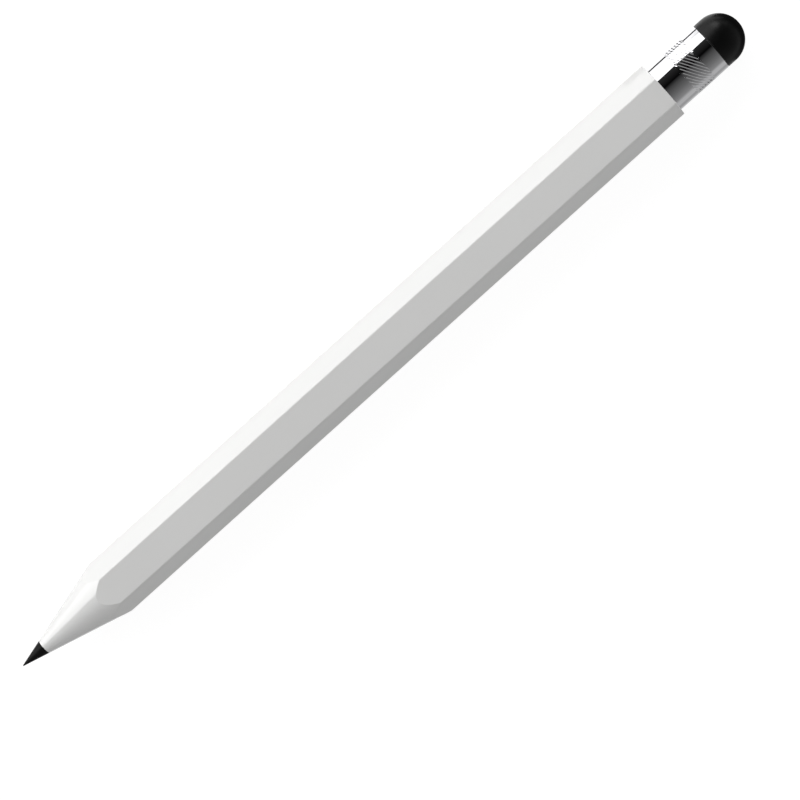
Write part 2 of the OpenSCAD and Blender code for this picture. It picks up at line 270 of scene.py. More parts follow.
def across_at(x):
    """Stands a flat ring across the pen's axis, at a place along the pen."""
    return Matrix.Translation((x, 0.0, AXIS_Z)) @ Matrix.Rotation(QUARTER_TURN, 4, "Y")


def face_outwards(shape):
    """Joins what coincides and turns every face outwards."""
    bmesh.ops.remove_doubles(shape, verts=shape.verts[:], dist=WELD)
    bmesh.ops.recalc_face_normals(shape, faces=shape.faces[:])


def revolve(shape):
    """Spins an outline once round the pen's axis."""
    bmesh.ops.spin(
        shape, geom=shape.verts[:] + shape.edges[:], cent=AXIS_POINT, axis=ALONG_PEN,
        angle=FULL_TURN, steps=TURN_STEPS, use_merge=True,
    )
    face_outwards(shape)


def turn(corners):
    """A piece turned about the pen's axis. A corner is (x, radius, ease), and its rounding starts at that
    distance from it. An outline that starts off the axis is closed."""
    shape = bmesh.new()
    wire = [shape.verts.new((x, 0.0, AXIS_Z + radius)) for x, radius, _ in corners]
    first_radius = corners[0][1]
    ends = wire[1:] + ([wire[0]] if first_radius > 0 else [])
    for start, end in zip(wire, ends):
        shape.edges.new((start, end))
    for vert, (_, _, ease) in zip(wire, corners):
        if ease:
            bmesh.ops.bevel(
                shape, geom=[vert], offset=ease, affect="VERTICES", profile=0.5, material=-1,
                segments=max(EASE_STEPS, round(ease / EASE_STEP)),
            )
    revolve(shape)
    return shape


def place_piece(name, shape, finish, node, sharp_angle=SHARP_ANGLE):
    """Makes a shape a piece that stands for a node and rides on that node's body, in the finish it is
    given.
    """
    mesh = bpy.data.meshes.new(name)
    shape.to_mesh(mesh)
    shape.free()
    mesh.shade_smooth()
    mesh.set_sharp_from_angle(angle=sharp_angle)
    mesh.materials.append(finish)
    piece = bpy.data.objects.new(name, mesh)
    bpy.context.scene.collection.objects.link(piece)
    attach(piece, frame["nodes"][node]["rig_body"])
    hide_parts(node)


def slot_of(node):
    """The material slot that the record gives a node."""
    for part in frame["record"]["subparts"]:
        if part["node"] == node:
            return part["material_slot"]
    raise KeyError(node)


# Finishes

MIX_FACTOR, MIX_FIRST, MIX_SECOND, MIX_RESULT = 0, 6, 7, 2
NOISE_LOW, NOISE_HIGH = 0.3, 0.7       # noise seldom leaves this range
RINGS = (1.0, 0.0, 0.0)                # a grain that changes only along the pen, as a lathe leaves it


def feed(tree, node, inputs):
    """Fills a node's inputs, each with a value or with a link from another node's output."""
    for socket, value in inputs.items():
        if isinstance(value, bpy.types.NodeSocket):
            tree.links.new(value, node.inputs[socket])
        else:
            node.inputs[socket].default_value = value


def add(tree, kind, inputs=None, **settings):
    """Adds a node with its settings and links."""
    node = tree.nodes.new(kind)
    for name, value in settings.items():
        setattr(node, name, value)
    feed(tree, node, inputs or {})
    return node


def per_mm(length):
    """Scale of a pattern whose features have this length in millimetres."""
    return 1 / (length * MM)


def shaded(colour, share):
    """A colour with its brightness scaled."""
    return [channel * share for channel in colour[:3]] + [1.0]


def bare_material(name):
    """A material with an empty tree, and that tree."""
    material = bpy.data.materials.new(name)
    material.use_nodes = True
    material.node_tree.nodes.clear()
    return material, material.node_tree


def new_finish(name):
    """A material for a piece, with its tree, its shader and the piece's own coordinates."""
    material, tree = bare_material(name)
    shader = add(tree, "ShaderNodeBsdfPrincipled")
    add(tree, "ShaderNodeOutputMaterial", {"Surface": shader.outputs["BSDF"]})
    place = add(tree, "ShaderNodeTexCoord").outputs["Object"]
    return material, tree, shader, place


def dress(tree, shader, cloud, tones, skin, shine, height_mm):
    """Colours a surface by one pattern, and roughens and embosses it by another. Gives the relief."""
    span = {"From Min": NOISE_LOW, "From Max": NOISE_HIGH}
    share = add(tree, "ShaderNodeMapRange", {"Value": cloud, **span}).outputs["Result"]
    inputs = {MIX_FACTOR: share, MIX_FIRST: tones[0], MIX_SECOND: tones[1]}
    tone = add(tree, "ShaderNodeMix", inputs, data_type="RGBA")
    inputs = {"Value": skin, "To Min": shine[0], "To Max": shine[1], **span}
    rough = add(tree, "ShaderNodeMapRange", inputs)
    relief = add(tree, "ShaderNodeBump", {"Height": skin, "Distance": height_mm * MM}).outputs["Normal"]
    feed(tree, shader, {
        "Base Color": tone.outputs[MIX_RESULT], "Roughness": rough.outputs["Result"], "Normal": relief,
    })
    return relief


def sprayed_lacquer():
    """White two-pack lacquer, sprayed and polished: an even cool white under a hard clear shine."""
    material, tree, shader, place = new_finish("sprayed_lacquer")
    white = bpy.context.scene.stylus_colours.lacquer
    film = add(tree, "ShaderNodeTexNoise", {"Vector": place, "Scale": per_mm(18)}).outputs["Fac"]
    peel = add(tree, "ShaderNodeTexNoise", {"Vector": place, "Scale": per_mm(1.4)}).outputs["Fac"]
    tones = (shaded(white, 0.985), white)
    relief = dress(tree, shader, film, tones, peel, shine=(0.48, 0.54), height_mm=0.0006)
    feed(tree, shader, {
        "Specular IOR Level": 0.0, "Coat Weight": 1.0, "Coat Roughness": 0.025, "Coat IOR": 1.6,
        "Coat Normal": relief,
    })
    return material


def moulded_acetal():
    """Carbon-filled acetal, moulded: near black with a fine satin skin."""
    material, tree, shader, place = new_finish("moulded_acetal")
    black = bpy.context.scene.stylus_colours.nib
    cloud = add(tree, "ShaderNodeTexNoise", {"Vector": place, "Scale": per_mm(1.5)}).outputs["Fac"]
    skin = add(tree, "ShaderNodeTexNoise", {"Vector": place, "Scale": per_mm(0.16)}).outputs["Fac"]
    tones = (shaded(black, 0.75), black)
    dress(tree, shader, cloud, tones, skin, shine=(0.3, 0.36), height_mm=0.002)
    feed(tree, shader, {"Specular IOR Level": 0.08})
    return material


def bright_chrome():
    """Bright chromium on turned brass: a hard mirror with the faint rings of the polishing mop."""
    material, tree, shader, place = new_finish("bright_chrome")
    metal = bpy.context.scene.stylus_colours.chrome
    along = add(tree, "ShaderNodeMapping", {"Vector": place, "Scale": RINGS}).outputs["Vector"]
    haze = add(tree, "ShaderNodeTexNoise", {"Vector": place, "Scale": per_mm(2.5)}).outputs["Fac"]
    rings = add(tree, "ShaderNodeTexNoise", {"Vector": along, "Scale": per_mm(0.22)}).outputs["Fac"]
    tones = (shaded(metal, 0.98), metal)
    dress(tree, shader, haze, tones, rings, shine=(0.02, 0.04), height_mm=0.00002)
    feed(tree, shader, {"Metallic": 1.0})
    return material


def conductive_silicone():
    """Carbon-filled silicone, moulded: black and velvety, with broad soft highlights."""
    material, tree, shader, place = new_finish("conductive_silicone")
    black = bpy.context.scene.stylus_colours.dome
    bloom = add(tree, "ShaderNodeTexNoise", {"Vector": place, "Scale": per_mm(2.2)}).outputs["Fac"]
    skin = add(tree, "ShaderNodeTexNoise", {"Vector": place, "Scale": per_mm(0.22)}).outputs["Fac"]
    tones = (shaded(black, 0.8), black)
    dress(tree, shader, bloom, tones, skin, shine=(0.31, 0.37), height_mm=0.003)
    feed(tree, shader, {"Specular IOR Level": 0.25})
    return material


def masked_laminate():
    """Glass-epoxy laminate under green solder mask: the weave shows as faint ribs."""
    material, tree, shader, place = new_finish("masked_laminate")
    # A wave repeats about every 1 / (pi * scale), here at each thread of 0.5 mm
    inputs = {"Vector": place, "Scale": per_mm(0.5 * math.pi)}
    ribs = add(tree, "ShaderNodeTexWave", inputs).outputs["Fac"]
    cloud = add(tree, "ShaderNodeTexNoise", {"Vector": place, "Scale": per_mm(1.2)}).outputs["Fac"]
    tones = (linear("1C5A38"), linear("226A43"))
    dress(tree, shader, cloud, tones, ribs, shine=(0.3, 0.4), height_mm=0.002)
    return material


def plain_finish(name, tones, grain_mm, shine, height_mm, metallic=0.0, stretch=(1.0, 1.0, 1.0)):
    """A finish of two close colours with an uneven shine and a fine relief, all from one grain."""
    material, tree, shader, place = new_finish(name)
    drawn = add(tree, "ShaderNodeMapping", {"Vector": place, "Scale": stretch}).outputs["Vector"]
    grain = add(tree, "ShaderNodeTexNoise", {"Vector": drawn, "Scale": per_mm(grain_mm)}).outputs["Fac"]
    dress(tree, shader, grain, [linear(code) for code in tones], grain, shine, height_mm)
    feed(tree, shader, {"Metallic": metallic})
    return material


def nitrile_rubber():
    """Nitrile rubber of a seal: dull black with a pale bloom."""
    return plain_finish(
        "nitrile_rubber", ("171717", "242424"), grain_mm=0.4, shine=(0.5, 0.62), height_mm=0.004,
    )


def lathe_brass():
    """Free-cutting brass off the lathe: warm yellow with fine rings."""
    return plain_finish(
        "lathe_brass", ("C9A35A", "DDBB78"), grain_mm=0.12, shine=(0.2, 0.32), height_mm=0.001,
        metallic=1.0, stretch=RINGS,
    )


def drawn_spring_wire():
    """Nickelled music wire: bright grey with the drawn streaks of the die."""
    return plain_finish(
        "drawn_spring_wire", ("B9B9BA", "D2D2D1"), grain_mm=0.15, shine=(0.18, 0.3), height_mm=0.0008,
        metallic=1.0,
    )


def pressed_nickel():
    """Nickel-plated steel strip, pressed: pale warm grey with a light haze."""
    return plain_finish(
        "pressed_nickel", ("C4C1B8", "D8D5CC"), grain_mm=0.3, shine=(0.2, 0.34), height_mm=0.001,
        metallic=1.0,
    )


def phosphor_bronze():
    """Phosphor bronze strip, rolled and bent: reddish gold."""
    return plain_finish(
        "phosphor_bronze", ("B5835A", "CC9A6C"), grain_mm=0.25, shine=(0.24, 0.36), height_mm=0.001,
        metallic=1.0,
    )


def moulded_abs():
    """ABS with a spark-eroded mould texture: dark grey and even."""
    return plain_finish(
        "moulded_abs", ("2C2C2E", "343436"), grain_mm=0.2, shine=(0.52, 0.62), height_mm=0.006,
    )


def epoxy_resin():
    """Moulded epoxy of a chip: grey-black with a fine sandy face."""
    return plain_finish(
        "epoxy_resin", ("1E1E20", "29292B"), grain_mm=0.1, shine=(0.5, 0.66), height_mm=0.004,
    )


def sintered_ferrite():
    """Sintered ferrite: charcoal, with a dry, grainy face."""
    return plain_finish(
        "sintered_ferrite", ("333335", "424244"), grain_mm=0.12, shine=(0.6, 0.75), height_mm=0.006,
    )


def nickel_can():
    """Drawn nickel-silver can of a crystal: bright, slightly brushed."""
    return plain_finish(
        "nickel_can", ("C6C6C4", "D6D6D4"), grain_mm=0.18, shine=(0.2, 0.3), height_mm=0.0008,
        metallic=1.0,
    )


def fired_ceramic():
    """Fired dielectric ceramic: tan and chalky."""
    return plain_finish(
        "fired_ceramic", ("B99A72", "CBAE88"), grain_mm=0.15, shine=(0.55, 0.7), height_mm=0.004,
    )


def vulcanised_fibre():
    """Vulcanised fibre, punched: red-brown with short fibres."""
    return plain_finish(
        "vulcanised_fibre", ("8A5A3A", "A26D48"), grain_mm=0.25, shine=(0.55, 0.72), height_mm=0.008,
    )


def drawn_steel_can():
    """Nickelled steel can of a cell: soft grey shine with faint drawing rings."""
    return plain_finish(
        "drawn_steel_can", ("B4B4B1", "C8C8C5"), grain_mm=0.3, shine=(0.24, 0.36), height_mm=0.001,
        metallic=1.0, stretch=RINGS,
    )


def shrink_film():
    """Shrunk plastic film: plain blue, smooth, with slight ripples."""
    return plain_finish(
        "shrink_film", ("30507A", "3A5C88"), grain_mm=1.6, shine=(0.28, 0.36), height_mm=0.004,
    )


# The finish of each slot. No finish has a slot's name, because the frame's flat materials have those names.
FINISHES = {
    "white_paint": sprayed_lacquer, "nose_paint": sprayed_lacquer, "nib_black": moulded_acetal,
    "chrome_plate": bright_chrome, "dome_rubber": conductive_silicone, "seal_rubber": nitrile_rubber,
    "turned_brass": lathe_brass, "spring_steel": drawn_spring_wire, "nickel_strip": pressed_nickel,
    "bronze_strip": phosphor_bronze, "carrier_plastic": moulded_abs, "board_laminate": masked_laminate,
    "chip_resin": epoxy_resin, "ferrite": sintered_ferrite, "crystal_can": nickel_can,
    "capacitor_ceramic": fired_ceramic, "fibre_board": vulcanised_fibre, "cell_metal": drawn_steel_can,
    "sleeve_film": shrink_film,
}


def finish_for(node):
    """The finish of a node's slot, made once."""
    make = FINISHES[slot_of(node)]
    return bpy.data.materials.get(make.__name__) or make()


# Pieces and studio


class STYLUS_OT_barrel(bpy.types.Operator):
    """Build the hexagonal barrel, with the cone that sharpens it running up its flats"""

    bl_idname = "stylus.barrel"
    bl_label = "Painted barrel"

    flat_cuts = 31             # cuts along each flat, for a smooth scallop
    corner_steps = 8           # faces round each long edge
    facet_angle = math.radians(12)     # an edge that bends more than this stays crisp

    def execute(self, context):
        sizes = context.scene.stylus_barrel
        rear = BARREL_HIGH.x
        mouth = rear - sizes.mouth_depth
        thread = rear - sizes.thread_room
        half_width = sizes.across_flats / 2
        corner_radius = half_width / math.cos(math.pi / SIDES)
        upright = across_at(rear - sizes.rear_ease)
        shape = bmesh.new()
        bmesh.ops.create_circle(shape, segments=SIDES, radius=corner_radius, matrix=upright)
        bmesh.ops.bevel(
            shape, geom=shape.verts[:], offset=sizes.edge_round, affect="VERTICES",
            segments=self.corner_steps, profile=0.5, material=-1,
        )
        flats = [edge for edge in shape.edges if edge.calc_length() > half_width / 2]
        bmesh.ops.subdivide_edges(shape, edges=flats, cuts=self.flat_cuts)
        outer = shape.edges[:]

        # The rear edge, eased inwards
        rim, verts = next_ring(shape, outer)
        for vert in verts:
            set_ring([vert], rear, radius_of(vert) - sizes.rear_ease)

        # Forwards along the flats to the cone, down the cone to the seam, and back along the bore
        ring, verts = next_ring(shape, outer)
        for vert in verts:
            vert.co.x = CONE_APEX + radius_of(vert) / CONE_SLOPE
        ring = follow(shape, ring, [
            (BARREL_LOW.x, SEAM_RADIUS), (BARREL_LOW.x, BORE_RADIUS), (thread, BORE_RADIUS),
            (thread, sizes.thread_bore), (mouth, sizes.thread_bore), (mouth, sizes.mouth_bore),
            (rear - sizes.rear_ease, sizes.mouth_bore), (rear, sizes.mouth_bore + sizes.rear_ease),
        ])
        bmesh.ops.bridge_loops(shape, edges=rim + ring)
        face_outwards(shape)
        place_piece("painted_barrel", shape, finish_for("barrel"), "barrel", self.facet_angle)
        return {"FINISHED"}


class STYLUS_OT_nose(bpy.types.Operator):
    """Build the nose that carries the cone on to the nib, with the socket's seat inside it"""

    bl_idname = "stylus.nose"
    bl_label = "Painted nose"

    funnel_lap = 0.2 * MM      # the socket's stub reaches this far into the funnel
    funnel_length = 2.9 * MM   # length of the cone from the socket's seat to the open back

    def execute(self, context):
        sizes = context.scene.stylus_barrel
        funnel = SOCKET_HIGH.x - self.funnel_lap
        shape = turn([
            (NOSE_LOW.x, sizes.shank_hole, 0.0),
            (NOSE_LOW.x, NIB_RADIUS, 0.0),
            (BARREL_LOW.x, SEAM_RADIUS, 0.0),
            (BARREL_LOW.x, BORE_RADIUS, 0.0),
            (NOSE_HIGH.x, BORE_RADIUS, sizes.small_ease),
            (NOSE_HIGH.x, sizes.nose_bay, sizes.small_ease),
            (funnel + self.funnel_length, sizes.nose_bay, 0.0),
            (funnel, SOCKET_HIGH.y, 0.0),
            (SOCKET_LOW.x, SOCKET_HIGH.y, 0.0),
            (SOCKET_LOW.x, sizes.shank_hole, 0.0),
        ])
        place_piece("painted_nose", shape, finish_for("nose_cone"), "nose_cone")
        return {"FINISHED"}


class STYLUS_OT_nib(bpy.types.Operator):
    """Build the nib: a cone with a rounded tip, and the shank that pushes into the socket"""

    bl_idname = "stylus.nib"
    bl_label = "Moulded nib"

    shank_chamfer = 0.3 * MM   # at the shank's end, to lead it into the socket

    def execute(self, context):
        sizes = context.scene.stylus_barrel
        tip_radius = (NIB_LOW.x - CONE_APEX) * CONE_SLOPE
        shape = turn([
            (NIB_LOW.x, 0.0, 0.0),
            (NIB_LOW.x, tip_radius, tip_radius),
            (NOSE_LOW.x, NIB_RADIUS, sizes.small_ease),
            (NOSE_LOW.x, sizes.nib_shank, 0.0),
            (NIB_HIGH.x - self.shank_chamfer, sizes.nib_shank, sizes.small_ease),
            (NIB_HIGH.x, sizes.nib_shank - self.shank_chamfer, sizes.small_ease),
            (NIB_HIGH.x, 0.0, 0.0),
        ])
        place_piece("moulded_nib", shape, finish_for("nib"), "nib")
        return {"FINISHED"}


class STYLUS_OT_ferrule(bpy.types.Operator):
    """Build the ferrule: threaded shank, seal groove, knurled grip and the dome's socket"""

    bl_idname = "stylus.ferrule"
    bl_label = "Knurled ferrule"

    knurl_columns = 6          # faces across a groove and the crest beside it
    groove_share = 0.66        # share of them that the groove takes
    knurl_rings = 24           # rings of faces along the knurl
    thread_rings = 48          # and along the thread
    thread_flat = 0.15         # share of the thread's half pitch that its crest and its root each take
    lead_in = 0.3 * MM         # length of the cone at the thread's start
    run_out = 0.25 * MM        # length in which a groove rises to the wall at each end
    knurl_facet = math.radians(20)     # an edge that bends more than this stays crisp

    def execute(self, context):
        sizes = context.scene.stylus_tail
        body = FERRULE_RADIUS
        shoulder = BARREL_HIGH.x
        start = shoulder + sizes.knurl_front
        lead = FULL_TURN * body * math.tan(sizes.knurl_angle)
        bay_back = DOME_LOW.x - sizes.web
        columns = self.knurl_columns * sizes.knurl_grooves
        upright = across_at(FERRULE_LOW.x)
        shape = bmesh.new()
        bmesh.ops.create_circle(shape, segments=columns, radius=sizes.bay_radius, matrix=upright)
        first = shape.edges[:]
        ring = self.cut_thread(shape, first, sizes)
        ring = follow(shape, ring, [
            (shoulder - sizes.groove_width, sizes.groove_radius), (shoulder, sizes.groove_radius),
            (shoulder, body - sizes.shoulder_ease), (shoulder + sizes.shoulder_ease, body), (start, body),
        ])
        ring = self.lay_knurl(shape, ring, sizes, start, lead)
        ring = follow(shape, ring, [
            (FERRULE_HIGH.x - sizes.rim, body), (FERRULE_HIGH.x, body - sizes.rim),
            (FERRULE_HIGH.x, sizes.socket_radius), (DOME_LOW.x, sizes.socket_radius),
            (DOME_LOW.x, sizes.stud_radius), (bay_back, sizes.stud_radius), (bay_back, sizes.bay_radius),
        ])
        bmesh.ops.bridge_loops(shape, edges=first + ring)
        face_outwards(shape)
        self.press_grooves(shape, sizes, start, lead)
        place_piece("knurled_ferrule", shape, finish_for("ferrule"), "ferrule", self.knurl_facet)
        return {"FINISHED"}

    def cut_thread(self, shape, ring, sizes):
        """Takes the shank's front ring along its thread, and gives the last ring."""
        front, back = FERRULE_LOW.x, BARREL_HIGH.x - sizes.groove_width
        pitch = sizes.thread_lead / sizes.thread_starts
        root = sizes.thread_radius - sizes.thread_depth
        for i in range(self.thread_rings + 1):
            x = front + (back - front) * i / self.thread_rings
            cone = root + (x - front) * sizes.thread_depth / self.lead_in
            ring, verts = next_ring(shape, ring)
            for vert in verts:
                phase = (x / pitch - sizes.thread_starts * angle_of(vert.co) / FULL_TURN) % 1.0
                slope = (abs(2.0 * phase - 1.0) - self.thread_flat) / (1.0 - 2.0 * self.thread_flat)
                crest = sizes.thread_radius - sizes.thread_depth * min(1.0, max(0.0, slope))
                set_ring([vert], x, min(crest, cone))
        return ring

    def lay_knurl(self, shape, ring, sizes, start, lead):
        """Takes a ring through the knurled band, turning with its grooves, and gives the last ring."""
        step = sizes.knurl_width / self.knurl_rings
        twist = Matrix.Rotation(FULL_TURN * step / lead, 3, "X")
        for i in range(self.knurl_rings):
            ring, verts = next_ring(shape, ring)
            bmesh.ops.rotate(shape, verts=verts, cent=AXIS_POINT, matrix=twist)
            set_ring(verts, start + step * (i + 1), FERRULE_RADIUS)
        return ring

    def press_grooves(self, shape, sizes, start, lead):
        """Presses the grooves in, each a slanting strip of the band's faces with sloping sides."""
        body = FERRULE_RADIUS
        grooves = []
        for face in shape.faces:
            middle = face.calc_center_median()
            in_band = start < middle.x < start + sizes.knurl_width
            if in_band and radius_of(face.verts[0]) > body - sizes.shoulder_ease:
                turned = angle_of(middle) / FULL_TURN - (middle.x - start) / lead
                if (turned * sizes.knurl_grooves) % 1.0 < self.groove_share:
                    grooves.append(face)
        bmesh.ops.inset_region(shape, faces=grooves, thickness=sizes.knurl_wall, use_even_offset=True)
        for vert in {vert for face in grooves for vert in face.verts}:
            past = vert.co.x - start
            end_gap = min(past, sizes.knurl_width - past) - sizes.knurl_wall
            share = min(1.0, max(0.0, end_gap / self.run_out))
            set_ring([vert], vert.co.x, body - sizes.knurl_depth * share)


class STYLUS_OT_dome(bpy.types.Operator):
    """Build the hollow rubber dome with its rounded skirt and its neck"""

    bl_idname = "stylus.dome"
    bl_label = "Rubber dome"

    pole_room = 0.999          # share of the radius that is round, so that a tiny flat is left at the pole

    def execute(self, context):
        sizes = context.scene.stylus_tail
        outer = DOME_HIGH.y
        inner = outer - sizes.dome_wall
        base = FERRULE_HIGH.x
        inner_pole = DOME_HIGH.x - sizes.dome_wall
        shape = turn([
            (inner_pole, 0.0, 0.0),
            (inner_pole, inner, inner * self.pole_room),
            (base + sizes.dome_wall, inner, 0.0),
            (base + sizes.dome_wall, POST_RADIUS, 0.0),
            (DOME_LOW.x, POST_RADIUS, 0.0),
            (DOME_LOW.x, sizes.socket_radius, 0.0),
            (base, sizes.socket_radius, 0.0),
            (base, outer, sizes.dome_lip),
            (DOME_HIGH.x, outer, outer * self.pole_room),
            (DOME_HIGH.x, 0.0, 0.0),
        ])
        place_piece("rubber_dome", shape, finish_for("dome"), "dome")
        return {"FINISHED"}


class STYLUS_OT_tail_fittings(bpy.types.Operator):
    """Build the seal and the contact disc that come into view when the ferrule is unscrewed"""

    bl_idname = "stylus.tail_fittings"
    bl_label = "Seal and contact disc"

    ring_steps = 20            # faces round the seal's section
    disc_ease = 0.12 * MM      # rounding of the disc's edges

    def execute(self, context):
        section = (SEAL_HIGH.x - SEAL_LOW.x) / 2
        seal = bmesh.new()
        centre = (SEAL_LOW.x + section, 0.0, AXIS_Z + SEAL_HIGH.y - section)
        bmesh.ops.create_circle(
            seal, segments=self.ring_steps, radius=section,
            matrix=Matrix.Translation(centre) @ Matrix.Rotation(QUARTER_TURN, 4, "X"),
        )
        revolve(seal)
        place_piece("seal_ring", seal, finish_for("o_ring"), "o_ring")
        disc = turn([
            (DISC_LOW.x, 0.0, 0.0),
            (DISC_LOW.x, DISC_HIGH.y, self.disc_ease),
            (DISC_HIGH.x, DISC_HIGH.y, self.disc_ease),
            (DISC_HIGH.x, 0.0, 0.0),
        ])
        place_piece("contact_disc", disc, finish_for("contact_button"), "contact_button")
        return {"FINISHED"}


class STYLUS_OT_springs(bpy.types.Operator):
    """Wind the tail spring and the nib's contact spring, with a close turn at each end"""

    bl_idname = "stylus.springs"
    bl_label = "Springs"

    open_turns = 4             # turns between the close one at each end
    turn_steps = 40            # faces along a turn
    wire_sides = 14            # faces round the wire
    close_pitch = 1.1          # rise of a close turn, in wire thicknesses

    def execute(self, context):
        sizes = context.scene.stylus_tail
        self.wind("tail_coil", "tail_spring", sizes.tail_wire)
        self.wind("nib_coil", "nib_contact_spring", sizes.nib_wire)
        return {"FINISHED"}

    def wind(self, name, node, wire):
        """Winds one spring to fill its node's length."""
        low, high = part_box(node)
        mean = high.y - wire / 2
        close = self.close_pitch * wire
        free = (high.x - low.x - wire - 2 * close) / self.open_turns
        shape = bmesh.new()
        start = Matrix.Translation((low.x + wire / 2, mean, AXIS_Z))
        bmesh.ops.create_circle(shape, segments=self.wire_sides, radius=wire / 2, matrix=start)
        end = shape.verts[:] + shape.edges[:]
        bmesh.ops.contextual_create(shape, geom=shape.edges[:])
        for turns, pitch in [(1, close), (self.open_turns, free), (1, close)]:
            end = bmesh.ops.spin(
                shape, geom=end, cent=AXIS_POINT, axis=ALONG_PEN, dvec=(pitch / self.turn_steps, 0.0, 0.0),
                angle=FULL_TURN * turns, steps=self.turn_steps * turns,
            )["geom_last"]
        last = [part for part in end if isinstance(part, bmesh.types.BMEdge)]
        bmesh.ops.contextual_create(shape, geom=last)
        face_outwards(shape)
        place_piece(name, shape, finish_for(node), node)


class STYLUS_OT_inner_finishes(bpy.types.Operator):
    """Give the pieces inside the barrel, which keep their solids' shapes, their own finishes"""

    bl_idname = "stylus.inner_finishes"
    bl_label = "Finishes inside"

    def execute(self, context):
        for name, node in frame["nodes"].items():
            if node.hide_render:
                continue
            for slot in node.material_slots:
                slot.material = finish_for(name)
        return {"FINISHED"}


